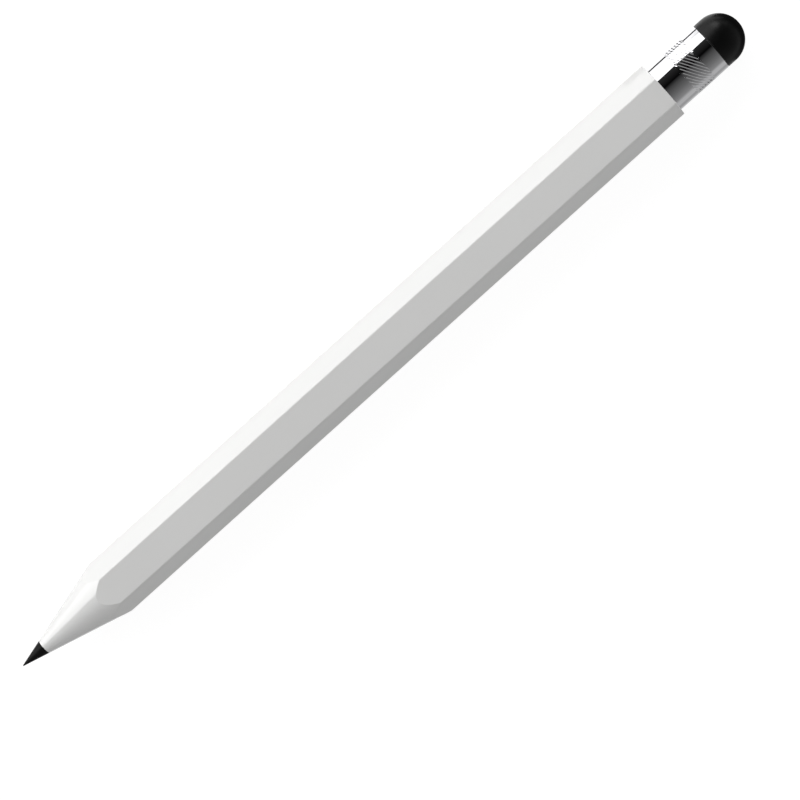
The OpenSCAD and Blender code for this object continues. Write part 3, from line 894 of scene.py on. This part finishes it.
class STYLUS_OT_studio(bpy.types.Operator):
    """Set the camera, the white floor, the soft box, and the glowing tent and cards that paint the
    reflections in the chrome
    """

    bl_idname = "stylus.studio"
    bl_label = "Studio"

    floor_half = 3.0           # half the floor's width
    floor_drop = 0.02 * MM     # gap between the pen and the floor, which the cards lie in
    floor_colour = "808080"
    floor_angle = 90.0         # degrees from straight up down to the floor
    tent_end = 6.0             # where the tent ends, along the soft box to both sides
    rear_end = 1.2             # where the soft box's dimmer part ends behind the dome
    box_end = 2.8              # and where the whole of it ends
    grey_end = -0.62           # the tent is plain grey from here to the nib's end
    tent_steps = 60            # faces round the tent
    box_edge = 42.3            # degrees from straight up to the upper edge of the soft box's face
    lamp_edge = 46.0           # and to the upper edge of the lamp behind it
    lamp_turn = -19.0          # degrees that the lamp is turned from the face, seen from above
    key_width = 4.0            # length of that lamp along the pen
    fill_width = 2.0           # and of the fill
    fill_share = 0.5           # height of the fill, as a share of the tent's radius
    fill_rise = 14.0           # degrees from the floor up to the fill
    # Glow of the tent, a painted shade, by degrees from straight up, from the soft box's edge over to the
    # floor
    dark_tones = [
        (-box_edge, 0.026), (-3.3, 0.0013), (-0.5, 0.01), (11.5, 0.06), (46, 0.155), (76, 0.26),
        (floor_angle, 0.46),
    ]
    # Glow of the plain grey part of the tent, a painted shade that only mirrors see
    grey_tone = 0.3
    # Glow of the soft box's painted reflection beside the nib and beside the dome, and of the dark painted
    # reflection behind its end
    front_tone = 3.4
    rear_tone = 1.5
    end_tone = 0.02
    # Painted reflections, glowing cards on the floor that only mirrors see: tone, then x and y from and to
    floor_cards = {
        "painted_reflection_white": (1.25, (-1.5, 0.08), (0.019, 1.2)),
        "painted_reflection_white_strip": (1.25, (0.064, 0.08), (0.005, 0.0138)),
        "painted_reflection_black_strip": (0.0, (0.064, 0.082), (0.0138, 0.019)),
        "painted_reflection_bright_strip": (0.9, (0.066, 0.0815), (-0.0065, -0.0053)),
        "painted_reflection_pale_strip": (0.7, (0.066, 0.0815), (-0.0083, -0.0065)),
        "painted_reflection_grey_strip": (0.5, (0.066, 0.0815), (-0.0115, -0.0083)),
        "painted_reflection_near": (0.36, (0.066, 0.0815), (-0.024, -0.0115)),
        "painted_reflection_far": (0.47, (0.066, 1.5), (-1.5, -0.024)),
        "painted_reflection_by_barrel": (0.4, (-1.5, 0.066), (-1.5, -0.0085)),
        "painted_reflection_by_dome": (0.1, (0.0815, 0.0865), (-0.024, -0.0055)),
        "painted_reflection_behind_tail": (0.03, (0.0865, 0.16), (-0.024, 0.012)),
        "painted_reflection_lit": (0.85, (0.082, 0.1), (0.012, 0.15)),
        "painted_reflection_side": (0.03, (0.1, 0.16), (0.012, 0.15)),
        "painted_reflection_end": (0.03, (0.16, 1.5), (-0.024, 1.2)),
    }

    def execute(self, context):
        studio = context.scene.stylus_studio
        context.scene.view_settings.view_transform = "Standard"
        self.set_camera(context.scene, studio)
        self.light_world(context.scene, studio)
        self.lay_floor(studio)
        self.hang_tent(studio.tent_radius)
        for name, card in self.floor_cards.items():
            self.lay_card(name, *card)
        self.hang_lamps(studio)
        return {"FINISHED"}

    def set_camera(self, scene, studio):
        """Puts the camera at the photograph's viewing angle."""
        view = bpy.data.cameras.new("camera")
        view.lens = studio.lens
        camera = bpy.data.objects.new("camera", view)
        camera.location = studio.camera_place
        camera.rotation_euler = studio.camera_turn
        scene.collection.objects.link(camera)
        scene.camera = camera

    def seen_directly(self, tree):
        """Gives 1 to what the camera sees, straight on, mirrored or through glass, and 0 to other light."""
        path = add(tree, "ShaderNodeLightPath").outputs
        seen = path["Is Camera Ray"]
        for way in ("Is Glossy Ray", "Is Transmission Ray"):
            either = add(tree, "ShaderNodeMath", {0: seen, 1: path[way]}, operation="MAXIMUM")
            seen = either.outputs["Value"]
        return seen

    def light_world(self, scene, studio):
        """White all round to the eye, with a little even light."""
        world = bpy.data.worlds.new("studio")
        scene.world = world
        world.use_nodes = True
        tree = world.node_tree
        tree.nodes.clear()
        inputs = {"Value": self.seen_directly(tree), "To Min": studio.ambient, "To Max": 1.0}
        strength = add(tree, "ShaderNodeMapRange", inputs).outputs["Result"]
        white = add(tree, "ShaderNodeBackground", {"Color": (1.0, 1.0, 1.0, 1.0), "Strength": strength})
        add(tree, "ShaderNodeOutputWorld", {"Surface": white.outputs["Background"]})

    def link_stage(self, name, shape, material):
        """Makes a shape a part of the studio."""
        mesh = bpy.data.meshes.new(name)
        shape.to_mesh(mesh)
        shape.free()
        mesh.materials.append(material)
        thing = bpy.data.objects.new(name, mesh)
        bpy.context.scene.collection.objects.link(thing)
        return thing

    def lay_floor(self, studio):
        """A floor that shows white and keeps the pen's shadow."""
        material, tree = bare_material("white_sweep")
        inputs = {0: self.seen_directly(tree), 1: studio.floor_white}
        strength = add(tree, "ShaderNodeMath", inputs, operation="MULTIPLY").outputs["Value"]
        lit = add(tree, "ShaderNodeBsdfDiffuse", {"Color": linear(self.floor_colour)})
        glow = add(tree, "ShaderNodeEmission", {"Strength": strength})
        both = add(tree, "ShaderNodeAddShader", {0: lit.outputs["BSDF"], 1: glow.outputs["Emission"]})
        add(tree, "ShaderNodeOutputMaterial", {"Surface": both.outputs["Shader"]})
        shape = bmesh.new()
        drop = Matrix.Translation((0.0, 0.0, BARREL_LOW.z - self.floor_drop))
        bmesh.ops.create_grid(shape, x_segments=1, y_segments=1, size=self.floor_half, matrix=drop)
        self.link_stage("floor", shape, material)

    def plain_glow(self, name, tone):
        """A material of one tone, which gives out its own light."""
        material, tree = bare_material(name)
        glow = add(tree, "ShaderNodeEmission", {"Strength": tone})
        add(tree, "ShaderNodeOutputMaterial", {"Surface": glow.outputs["Emission"]})
        return material

    def painted_tent_shade(self):
        """Painted shade of the tent: a material that glows by the angle round the pen, from black overhead
        to grey at the floor.
        """
        material, tree = bare_material("painted_tent_shade")
        place = add(tree, "ShaderNodeTexCoord").outputs["Object"]
        across = add(tree, "ShaderNodeVectorMath", {0: place, 1: LAMP_AWAY}, operation="DOT_PRODUCT")
        height = add(tree, "ShaderNodeSeparateXYZ", {"Vector": place}).outputs["Z"]
        inputs = {0: across.outputs["Value"], 1: height}
        angle = add(tree, "ShaderNodeMath", inputs, operation="ARCTAN2").outputs["Value"]
        low, high = self.dark_tones[0][0], self.dark_tones[-1][0]
        inputs = {"Value": angle, "From Min": math.radians(low), "From Max": math.radians(high)}
        share = add(tree, "ShaderNodeMapRange", inputs).outputs["Result"]
        ramp = add(tree, "ShaderNodeValToRGB", {"Fac": share})
        stops = ramp.color_ramp.elements
        for degrees, _ in self.dark_tones[1:-1]:
            stops.new((degrees - low) / (high - low))
        for stop, (_, tone) in zip(stops, self.dark_tones):
            stop.color = (tone, tone, tone, 1.0)
        glow = add(tree, "ShaderNodeEmission", {"Color": ramp.outputs["Color"]})
        add(tree, "ShaderNodeOutputMaterial", {"Surface": glow.outputs["Emission"]})
        return material

    def link_card(self, name, shape, material):
        """Makes a shape a painted reflection: a glowing part of the studio, hidden from all but mirrors."""
        card = self.link_stage(name, shape, material)
        card.visible_camera = False
        card.visible_diffuse = False
        card.visible_shadow = False

    def lay_card(self, name, tone, x_span, y_span):
        """A painted reflection: a flat glowing card on the floor, which only mirrors see."""
        middle = Vector((sum(x_span) / 2, sum(y_span) / 2, BARREL_LOW.z - self.floor_drop / 2))
        half = Vector(((x_span[1] - x_span[0]) / 2, (y_span[1] - y_span[0]) / 2, 1.0))
        shape = bmesh.new()
        place = Matrix.LocRotScale(middle, None, half)
        bmesh.ops.create_grid(shape, x_segments=1, y_segments=1, size=1.0, matrix=place)
        self.link_card(name, shape, self.plain_glow(name, tone))

    def over_pen(self, radius, degrees):
        """A point round the pen, at an angle from straight up towards the dark side."""
        angle = math.radians(degrees)
        return radius * (math.cos(angle) * UP + math.sin(angle) * LAMP_AWAY)

    def hang_tent(self, radius):
        """Painted reflections of the soft box's face and of the arched tent over the pen: glows that only
        mirrors see.
        """
        painted_grey_tent = self.plain_glow("painted_grey_tent", self.grey_tone)
        self.hang_cloth(radius, self.painted_tent_shade(), self.grey_end, self.tent_end)
        self.hang_cloth(radius, painted_grey_tent, -self.tent_end, self.grey_end)
        self.hang_face(radius, "painted_box_reflection_front", self.front_tone, -self.tent_end, 0.0)
        self.hang_face(radius, "painted_box_reflection_rear", self.rear_tone, 0.0, self.rear_end)
        self.hang_face(radius, "painted_box_reflection_end", self.front_tone, self.rear_end, self.box_end)
        self.hang_face(radius, "painted_dark_end", self.end_tone, self.box_end, self.tent_end)

    def hang_face(self, radius, name, tone, start, end):
        """A painted reflection of the soft box's face between two places along it, from its upper edge down
        to the floor, seen only in mirrors.
        """
        edges = [self.over_pen(radius, -degrees) for degrees in (self.box_edge, self.floor_angle)]
        shape = bmesh.new()
        for edge in edges:
            for along in (start, end):
                shape.verts.new(edge + along * LAMP_ALONG)
        bmesh.ops.contextual_create(shape, geom=shape.verts[:])
        self.link_card(name, shape, self.plain_glow(name, tone))

    def hang_cloth(self, radius, material, start, end):
        """The tent between two places along the soft box: a glowing arch of painted shade, which only
        mirrors see.
        """
        shape = bmesh.new()
        edge = self.over_pen(radius, -self.box_edge)
        ends = [shape.verts.new(edge + along * LAMP_ALONG) for along in (start, end)]
        bmesh.ops.spin(
            shape, geom=ends + [shape.edges.new(ends)], cent=(0.0, 0.0, 0.0), axis=LAMP_ALONG,
            angle=math.radians(self.floor_angle + self.box_edge), steps=self.tent_steps,
        )
        self.link_card(material.name, shape, material)

    def hang_lamp(self, name, glow, place, along, width, height):
        """A soft lamp that faces the pen, with its width along a level direction. Mirrors don't see it."""
        lamp = bpy.data.lights.new(name, "AREA")
        lamp.shape = "RECTANGLE"
        lamp.size = width
        lamp.size_y = height
        # A lamp glows with its power over pi and its area
        lamp.energy = glow * math.pi * width * height
        thing = bpy.data.objects.new(name, lamp)
        back = place.normalized()
        turned = Matrix((along, back.cross(along), back)).transposed()
        thing.matrix_world = Matrix.Translation(place) @ turned.to_4x4()
        thing.visible_glossy = False
        bpy.context.scene.collection.objects.link(thing)

    def hang_lamps(self, studio):
        """The lamp of the soft box, which stands on the floor, and a fill on the other side."""
        radius = studio.tent_radius
        swing = Matrix.Rotation(math.radians(self.lamp_turn), 3, "Z")
        top = swing @ self.over_pen(radius, -self.lamp_edge)
        foot = swing @ self.over_pen(radius, -self.floor_angle)
        middle = (top + foot) / 2
        height = (top - foot).length
        self.hang_lamp("key", studio.key_glow, middle, swing @ LAMP_ALONG, self.key_width, height)
        side = self.over_pen(radius, self.floor_angle - self.fill_rise)
        height = radius * self.fill_share
        self.hang_lamp("fill", studio.fill_glow, side, LAMP_ALONG, self.fill_width, height)


BUILDERS = (
    STYLUS_OT_barrel, STYLUS_OT_nose, STYLUS_OT_nib, STYLUS_OT_ferrule, STYLUS_OT_dome,
    STYLUS_OT_tail_fittings, STYLUS_OT_springs, STYLUS_OT_inner_finishes, STYLUS_OT_studio,
)
SETTINGS = {
    "stylus_barrel": StylusBarrelSizes, "stylus_tail": StylusTailSizes,
    "stylus_colours": StylusColours, "stylus_studio": StylusStudio,
}


class STYLUS_PT_builder(bpy.types.Panel):
    """Lists the stylus's pieces and its studio"""

    bl_idname = "STYLUS_PT_builder"
    bl_label = "Pencil Stylus"
    bl_space_type = "VIEW_3D"
    bl_region_type = "UI"
    bl_category = "Stylus"

    def draw(self, context):
        for builder in BUILDERS:
            self.layout.operator(builder.bl_idname)


def register():
    for group in (*SETTINGS.values(), *BUILDERS, STYLUS_PT_builder):
        bpy.utils.register_class(group)
    for name, group in SETTINGS.items():
        setattr(bpy.types.Scene, name, PointerProperty(type=group))


def unregister():
    for name in SETTINGS:
        delattr(bpy.types.Scene, name)
    for group in reversed((*SETTINGS.values(), *BUILDERS, STYLUS_PT_builder)):
        bpy.utils.unregister_class(group)


def main():
    register()
    for builder in BUILDERS:
        group, name = builder.bl_idname.split(".")
        getattr(getattr(bpy.ops, group), name)()


if __name__ == "__main__":
    main()
